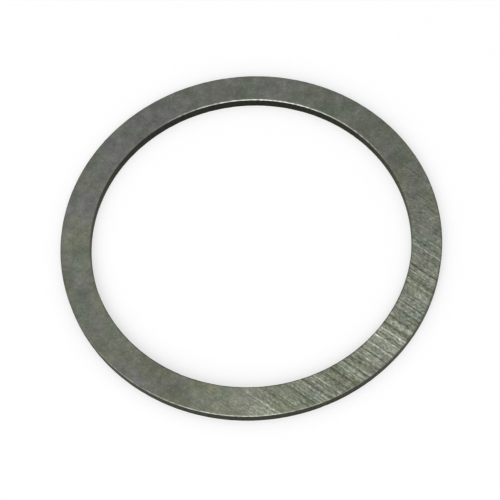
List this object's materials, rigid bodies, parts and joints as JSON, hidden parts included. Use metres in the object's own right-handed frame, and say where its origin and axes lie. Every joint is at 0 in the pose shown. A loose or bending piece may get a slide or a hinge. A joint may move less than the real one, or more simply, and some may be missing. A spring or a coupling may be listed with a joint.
{
  "type": "thrust washer",
  "caption": "Flat steel thrust washer: a thin plain ring with ground faces and rounded edges that keeps two turning parts apart and carries the load between them.",
  "frame": {"origin": "centre of the bore on the lower thrust face, the face the washer lies on", "axes": "+Z along the bore's axis, out of the upper thrust face; the ring is the same all round, so +X and +Y are free, and the picture is taken looking along +Y from above"},
  "size_m": [0.095, 0.095, 0.003],
  "materials": {
    "ground_steel": "surface-ground faces with straight parallel scratches, lightly oiled, dull grey"
  },
  "bodies": {
    "root": {"thrust_washer": "ground_steel"}
  },
  "joints": []
}
